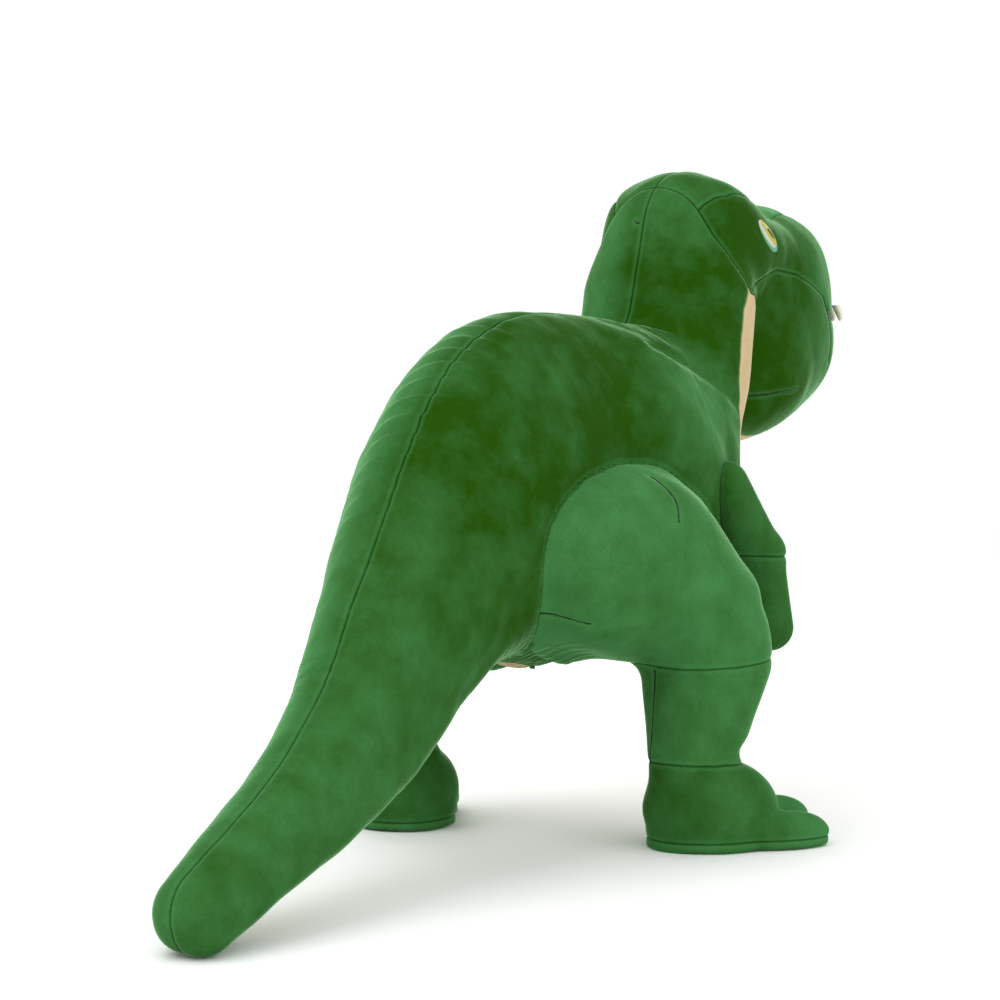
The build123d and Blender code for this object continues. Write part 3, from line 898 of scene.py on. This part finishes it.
def tan(f, u, s):
    lower = line(BELLY_UP, np.minimum(f, 160)) - u
    front = np.where(u > 250, f - line(THROAT_FORWARD, u), -FAR)
    off_centre = np.abs(middle(f, u, s) - trunk_lean(MIDDLE - f))
    return np.minimum(line(TAN_HALF, f) - off_centre, np.maximum(lower, front))


def middle(f, u, s):
    return s - tail_bend(MIDDLE - f)


def ahead_of_cut(f, u, s):
    return f - FRONT_CUT


def on_brow(f, u, s):
    return np.minimum(np.minimum(line(BROW_HALF, f) - np.abs(s), BROW_END - f), u - BROW_LOW)


def on_bridge(f, u, s):
    return np.minimum(np.minimum(line(BRIDGE_HALF, f) - np.abs(s), f - BROW_END), u - BRIDGE_LOW)


def on_chin(f, u, s):
    return np.minimum(CHIN_HALF - np.abs(s), CHIN_UP - u)


def right_half(f, u, s):
    return -middle(f, u, s)


def above(height, rise=0.0):
    return lambda f, u, s: u - height - rise * f


def everywhere(f, u, s):
    return np.ones_like(f)


def both(*rules):
    return lambda f, u, s: np.min([rule(f, u, s) for rule in rules], axis=0)


def bend_with_tail(piece):
    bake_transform(piece)


def bend_with_head(piece):
    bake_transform(piece)


DART_DEPTH = 1.3
# rows of vertices are laid along a seam and this far beside it
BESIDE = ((0.0, 1.4, -1.4, 4.0, -4.0))


def on_head(f, u, s):
    return np.minimum(on_face(f, u, s), u - JOIN_UP)


# ---- trunk, tail and neck
body = Skin(neck_skin, spot(290, -8, -130), spot(-465, 530, 130), STEP)
body.score(on_head)
body.score(tan, BESIDE)
body.score(middle, BESIDE)
body.score(ahead_of_cut)
rules = [("cut_off", on_head)]
rules += [("tan_front", both(tan, ahead_of_cut)), ("tan_rear", tan)]
rules += [("front_right", both(right_half, ahead_of_cut)), ("rear_right", right_half)]
rules += [("front_left", ahead_of_cut), ("rear_left", everywhere)]
body.label(rules)
plain = [("front_right", "rear_right"), ("front_left", "rear_left"), ("tan_front", "tan_rear")]
body_seams = body.sewn(plain)

# ---- head
HEAD_BOX = spot(485, 285, -82), spot(150, 525, 82)
head = Skin(head_skin, *HEAD_BOX, STEP * 0.7)
head.score(on_face, (0.0, 1.4, 4.0))
head.score(under_jaw_line, BESIDE)
head.score(on_brow, BESIDE)
head.score(on_bridge, BESIDE)
head.score(on_chin, (0.0, 1.4, -1.4))
head.score(lambda f, u, s: s)
rules = [("cut_off", lambda f, u, s: -on_face(f, u, s))]
rules += [("bridge", on_bridge), ("brow_right", both(on_brow, right_half)), ("brow_left", on_brow)]
rules += [("chin", on_chin), ("jaw_right", both(under_jaw_line, right_half)), ("jaw_left", under_jaw_line)]
rules += [("face_right", right_half), ("face_left", everywhere)]
head.label(rules)
head_seams = head.sewn()
seam_forward, seam_up, _ = places_of(head_seams)
on_jaw_line = np.abs(under_jaw_line(seam_forward, seam_up, 0)) < 1
mouth = head_seams[on_jaw_line & (seam_forward > CHEEK_FRONT)]

# ---- legs
KNEE_UP, KNEE_RISE = 131.0, 0.07
ANKLE_UP, ANKLE_FALL = 62.0, 0.04
TUCK = 5  # how far the thigh's cloth runs on inside the trunk
# the darts and folds below are given for a leg that stands this far forward
MEASURED_STRIDE = 14
LEG_DARTS = [
    [(-6, 268, 92), (-10, 244, 106), (-23, 227, 115)],
    [(-111, 172, 60), (-97, 168, 72), (-84, 164, 85)],
    [(-16, 126, 94), (-16, 90, 92), (-10, 60, 92)],
]


def over_trunk(f, u, s):
    return neck_skin(np.column_stack([s, MIDDLE - f, u]))


def too_deep(f, u, s):
    return -TUCK - over_trunk(f, u, s)


def inside_trunk(f, u, s):
    return -over_trunk(f, u, s)


def leg_box(sign):
    """The low and high corner of the space that a leg lies in."""
    low, high = sorted((sign * 15.0, sign * 225.0))
    return spot(190, -8, low), spot(-175, 300, high)


def arm_box(sign):
    low, high = sorted((sign * 50.0, sign * 135.0))
    return spot(225, 112, low), spot(85, 295, high)


def leg_line(side, leg, row):
    """A dart or fold of the right leg, laid onto either leg."""
    shift = LEGS[side]["stride"] - MEASURED_STRIDE
    return stitched_line(leg.field, [(f + shift, u, SIDES[side] * out) for f, u, out in row])


over_knee, over_ankle, over_sole = above(KNEE_UP, KNEE_RISE), above(ANKLE_UP, -ANKLE_FALL), above(SOLE_UP)
legs = {}
thigh_seams = []
for side, sign in SIDES.items():
    leg = Skin(lambda p, side=side: leg_field(p, side), *leg_box(sign), STEP * 0.85)
    leg.score(too_deep)
    leg.score(over_trunk, BESIDE[:2])
    leg.score(over_knee, BESIDE)
    leg.score(over_ankle, BESIDE)
    leg.score(over_sole, BESIDE[:3])
    rules = [("cut_off", too_deep), ("tuck", inside_trunk)]
    rules += [("thigh", over_knee), ("shin", over_ankle), ("foot", over_sole), ("sole", everywhere)]
    leg.label(rules)
    leg.seams = leg.sewn([("tuck", "cut_off")])
    thigh_seams.append(leg.seams[leg.seams[:, 2] > KNEE_UP + 15])
    for i, dart in enumerate(LEG_DARTS):
        dart_line = leg_line(side, leg, dart)
        leg.seams = np.vstack([leg.seams, dart_line])
        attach(dart_stitches(f"leg_dart_{side}_{i + 1}", dart_line, leg.field, DART_DEPTH), "trunk")
    legs[side] = leg

HEAD_DARTS = [
    [(392, 417, 63), (402, 404, 64), (408, 390, 64), (411, 375, 63), (410, 360, 62)],
    [(264, 324, 44), (272, 326, 50), (282, 328, 56), (297, 332, 62), (324, 337, 62)],
]
for side, sign in SIDES.items():
    for i, dart in enumerate(HEAD_DARTS):
        dart_line = stitched_line(head_skin, [(f, u, sign * out) for f, u, out in dart])
        head_seams = np.vstack([head_seams, dart_line])
        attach(dart_stitches(f"face_dart_{side}_{i + 1}", dart_line, head_skin, DART_DEPTH), "head")
nape_dart = stitched_line(neck_skin, [(136, 478, 12), (128, 480, 7), (124, 482, 1)])
body_seams = np.vstack([body_seams, nape_dart])
bend_with_head(dart_stitches("nape_dart", nape_dart, neck_skin, DART_DEPTH))

FLANK_FOLDS = [
    ([(22, 363, 45), (34, 330, 70), (77, 298, 82)], 10, 0.9),
    ([(38, 360, 60), (86, 324, 78), (134, 283, 85)], 12, 1.1),
    ([(80, 373, 60), (130, 344, 66), (183, 315, 66)], 6, 2.0),
    ([(60, 380, 20), (88, 366, 40), (104, 352, 58)], 8, 1.0),
    ([(-190, 120, 60), (-160, 150, 66), (-136, 190, 74)], 10, 1.6),
]
flank_folds = [
    (stitched_line(neck_skin, [(f, u, sign * out) for f, u, out in row]), width, depth)
    for sign in SIDES.values()
    for row, width, depth in FLANK_FOLDS
]

body.press(np.vstack([body_seams, head_seams[head_seams[:, 2] > 413], *thigh_seams]), folds=flank_folds)
head.press(np.vstack([head_seams, body_seams[body_seams[:, 2] > 413]]), deep=mouth)

# ---- tones: how light the pile looks, partly from the pile's nap and partly painted sheen and painted light


def body_tone_and_painted_sheen(f, u, s):
    """Lighter on the tail, the shoulders, the crown, left of the spine and low on the flanks: partly the pile's
    nap, partly painted sheen and painted light.
    """
    tail = smooth_step(-60, -330, f)
    shoulder = np.exp(-(((f - 115) / 60) ** 2) - ((u - 315) / 50) ** 2) * smooth_step(25, 65, np.abs(s))
    # left of the spine: partly pile laid the other way, partly painted sheen along the back's edge
    nap_and_painted_sheen = smooth_step(-6, 45, middle(f, u, s)) * smooth_step(240, 120, f)
    crown = 0.25 * smooth_step(420, 480, u)
    return 0.06 + 0.6 * shoulder + 0.2 * tail + 0.65 * nap_and_painted_sheen + crown + 0.1 * smooth_step(200, 130, u)


# the face is painted lighter towards the snout: painted sheen
def face_tone_and_painted_sheen(f, u, s):
    return 0.0 + 0.5 * smooth_step(300, 430, f)


# the feet are painted lighter towards the toes: painted sheen
def foot_tone_and_painted_sheen(f, u, s):
    return 0.3 + 0.35 * smooth_step(10, 80, f)


for side in SIDES:
    rear = body.panel(f"flank_and_tail_{side}", [f"rear_{side}"], "green_plush", body_tone_and_painted_sheen)
    bend_with_tail(rear)
    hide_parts(f"flank_cover_{side}", f"tail_cover_{side}")
    front = body.panel(f"shoulder_and_nape_{side}", [f"front_{side}"], "green_plush", body_tone_and_painted_sheen)
    bend_with_head(front)
    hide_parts(f"nape_cover_{side}")
throat = body.panel("belly_and_throat", ["tan_front"], "tan_plush", 0.5)
bend_with_head(throat)
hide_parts("belly_panel")
under = body.panel("tail_underside_cloth", ["tan_rear"], "tan_plush", 0.5)
bend_with_tail(under)
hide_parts("tail_underside")

for side, sign in SIDES.items():
    head_panels = [("face", "face_panel", face_tone_and_painted_sheen), ("jaw", "jaw_cover", face_tone_and_painted_sheen), ("brow", "brow", 0.3)]
    for panel, node, tone_and_painted_light in head_panels:
        piece = head.panel(f"{panel}_cloth_{side}", [f"{panel}_{side}"], "green_plush", tone_and_painted_light)
        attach(piece, "head")
        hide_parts(f"{node}_{side}")
# the bridge's tone paints the top of the snout lighter: painted light
bridge = head.panel("snout_bridge_cloth", ["bridge"], "green_plush", 0.75)
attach(bridge, "head")
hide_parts("snout_bridge")
chin = head.panel("chin_cloth", ["chin"], "tan_plush", 0.5)
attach(chin, "head")
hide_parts("chin_panel")

LEG_FOLDS = [
    ([(-78, 172, 110), (-40, 184, 118), (-8, 199, 122)], 8, 2.2),
    ([(-88, 152, 95), (-70, 166, 110), (-52, 181, 118)], 7, 1.8),
    ([(20, 160, 150), (50, 172, 140), (70, 190, 125)], 9, 1.6),
    ([(-10, 78, 140), (14, 72, 140), (30, 76, 130)], 7, 1.8),
]
for side, leg in legs.items():
    leg_folds = [(leg_line(side, leg, row), width, depth) for row, width, depth in LEG_FOLDS]
    leg.press(leg.seams, folds=leg_folds)
    # the thigh's and shin's tones paint them lighter than the flank: painted light
    for panels, name, node, tone_and_painted_light in [
        (["thigh", "tuck"], "thigh_cloth", "thigh_cover", 0.6),
        (["shin"], "shin_cloth", "shin_cover", 0.5),
        (["foot"], "foot_cloth", "foot_upper", foot_tone_and_painted_sheen),
        (["sole"], "sole_cloth", "sole", 0.45),
    ]:
        piece = leg.panel(f"{name}_{side}", panels, "green_plush", tone_and_painted_light)
        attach(piece, "trunk")
        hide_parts(f"{node}_{side}")

# ---- arms
over_elbow = above(ELBOW_UP)
for side, sign in SIDES.items():
    arm = Skin(lambda p, side=side: arm_field(p, side), *arm_box(sign), STEP * 0.7)
    arm.score(over_elbow, BESIDE)
    arm.score(over_trunk)
    arm.label([("tuck", inside_trunk), ("upper", over_elbow), ("fore", everywhere)])
    seams = arm.sewn()
    arm.press(seams)
    for panels, name in [(["upper", "tuck"], "upper_arm"), (["fore"], "forearm")]:
        piece = arm.panel(f"{name}_cloth_{side}", panels, "green_plush", 0.25)
        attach(piece, f"arm_{side}")
        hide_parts(f"{name}_cover_{side}")

# ---- eyes, mouth, teeth and nostrils
EYE_FORWARD, EYE_UP, EYE_SLANT = 267.5, 460.5, -26.0
for side, sign in SIDES.items():
    centre = spot(EYE_FORWARD, EYE_UP, sign * 40)
    facing = np.array([sign, -0.1, 0.0])
    lean = math.radians(EYE_SLANT)
    along = np.array([0, -math.cos(lean), math.sin(lean)])
    # across runs up on the right side and down on the left
    rise = -sign
    eye_parts = [
        ("eye_rim", 20.0, 9.2, 0.9, "mint_thread", (2.0, -1.0), None),
        ("eye_white", 18.5, 8.4, 1.5, "white_thread", (0.0, 0.0), "eye_white"),
        ("iris", 18.0, 6.2, 2.1, "yellow_thread", (0.8, 1.4), "iris"),
        ("pupil", 12.0, 1.7, 2.8, "black_thread", (1.0, 1.4), "pupil"),
        ("eye_glint", 2.4, 1.5, 3.0, "white_thread", (-8.0, 1.2), None),
    ]
    for name, half_long, half_tall, height, material, (forth, up), node in eye_parts:
        piece = patch(
            f"{name}_stitches_{side}", head_skin, centre, facing, along,
            (half_long, half_tall), height, material, (forth, rise * up),
        )
        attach(piece, "head")
        if node:
            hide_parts(f"{node}_{side}")

for side, sign in SIDES.items():
    piece = patch(
        f"nostril_stitches_{side}", head_skin, spot(452, 455, sign * 18), np.array([sign * 0.5, -0.75, 0.6]),
        np.array([sign * 0.6, -0.5, -0.3]), (5.5, 3.0), 0.6, "black_thread",
    )
    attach(piece, "head")
    if side == "right":
        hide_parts("nostrils")

order = np.argsort(np.arctan2(mouth[:, 0], -(mouth[:, 1] - spot(380, 0)[1])))
slit = mouth[order][:: max(len(mouth) // 90, 1)]
slit = slit[1:-1] * 0.5 + slit[:-2] * 0.25 + slit[2:] * 0.25
out = slope(head_skin, slit)
lining = tube_piece("mouth_lining_cloth", slit - out * 3.6, np.full(len(slit), 2.6), "mouth_cloth", 0.6)
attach(lining, "head")
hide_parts("mouth_lining")

TEETH = [(440, 50, 14), (458, 31, 13), (468, 11, 12)]  # forward, side, height of one side's teeth
ROOTS_UP = 409
count = 0
for forward, out_by, height in TEETH:
    for side, sign in SIDES.items():
        count += 1
        points, faces = tooth(head_skin, spot(forward, ROOTS_UP, sign * out_by), height)
        piece = make_piece(f"tooth_{count}", points, faces, "cream_felt")
        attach(piece, "head")
        if count == 1:
            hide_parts("upper_teeth")

# ---- the stuffing inside
INSIDE, INSIDE_ARM = 8.0, 6
TAIL_CUT, NECK_CUT, GAP = 160, 330, 3  # the trunk stuffing ends GAP short of the tail stuffing


def filling(name, field, low, high, body_name, *nodes):
    points, faces = surface(field, low, high, 9.0)
    piece = make_piece(name, points, faces, "polyester_stuffing")
    if body_name == "tail":
        bend_with_tail(piece)
    else:
        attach(piece, body_name)
    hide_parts(*nodes)


filling(
    "tail_filling", lambda p: np.maximum(neck_skin(p) + INSIDE, places_of(p)[0] + TAIL_CUT),
    spot(-130, -8, -120), spot(-465, 330, 120), "tail", "tail_stuffing",
)


def trunk_fill(p):
    forward, up, _ = places_of(p)
    ends = np.maximum(GAP - TAIL_CUT - forward, up - NECK_CUT)
    return np.maximum(neck_skin(p) + INSIDE, ends)


trunk_box = spot(240, 90, -120), spot(-180, 400, 120)
filling("trunk_filling", trunk_fill, *trunk_box, "trunk", "trunk_stuffing")
filling("head_filling", lambda p: head_field(p) + INSIDE, *HEAD_BOX, "head", "head_stuffing")
for side, sign in SIDES.items():

    def thigh_fill(p, side=side):
        outside = INSIDE - neck_skin(p)
        return np.maximum(np.maximum(leg_field(p, side) + INSIDE, outside), KNEE_UP + 2 - p[:, 2])

    def foot_fill(p, side=side):
        return np.maximum(leg_field(p, side) + INSIDE, p[:, 2] - KNEE_UP + 2)

    def arm_fill(p, side=side):
        return arm_field(p, side) + INSIDE_ARM

    filling(f"thigh_filling_{side}", thigh_fill, *leg_box(sign), "trunk", f"thigh_stuffing_{side}")
    filling(f"foot_filling_{side}", foot_fill, *leg_box(sign), "trunk", f"foot_stuffing_{side}")
    filling(f"arm_filling_{side}", arm_fill, *arm_box(sign), f"arm_{side}", f"arm_stuffing_{side}")

# ---- floor, light and camera
floor_mesh = bpy.data.meshes.new("floor")
floor_mesh.from_pydata([(-6, -6, 0), (6, -6, 0), (6, 6, 0), (-6, 6, 0)], [], [(0, 1, 2, 3)])
floor = add("floor", floor_mesh)
floor_mesh.materials.append(Nodes("paper_floor").finish((0.98, 0.98, 0.98, 1), Roughness=0.8))

world = bpy.data.worlds.new("studio")
bpy.context.scene.world = world
world.use_nodes = True
background = world.node_tree.nodes["Background"].inputs
background["Color"].default_value = (1, 1, 1, 1)
background["Strength"].default_value = 1.02


def soft_light(name, place, size, power):
    light = bpy.data.lights.new(name, "AREA")
    light.energy, light.size = power, size
    lamp = add(name, light)
    lamp.location = place
    lamp.rotation_mode = "QUATERNION"
    lamp.rotation_quaternion = (Vector((0, 0, 0.2)) - Vector(place)).to_track_quat("-Z", "Y")


soft_light("window", (0.6, 1.4, 2.2), 1.6, 18)
soft_light("fill", (-2.2, 0.2, 1.2), 1.6, 8)
soft_light("rim", (1.6, -1.2, 1.6), 1.2, 8)

# the camera looks from behind the right hip, a little downwards
camera_data = bpy.data.cameras.new("camera")
camera_data.lens, camera_data.sensor_width = 77.15, 36.0
camera = add("camera", camera_data)
camera.location = (-0.7561, 1.3873, 0.283)
heading, dip = math.radians(30.0), math.radians(1.336)
looks = Vector((math.sin(heading) * math.cos(dip), -math.cos(heading) * math.cos(dip), -math.sin(dip)))
camera.rotation_mode = "QUATERNION"
camera.rotation_quaternion = looks.to_track_quat("-Z", "Y")
bpy.context.scene.camera = camera
bpy.context.scene.view_settings.view_transform = "Standard"
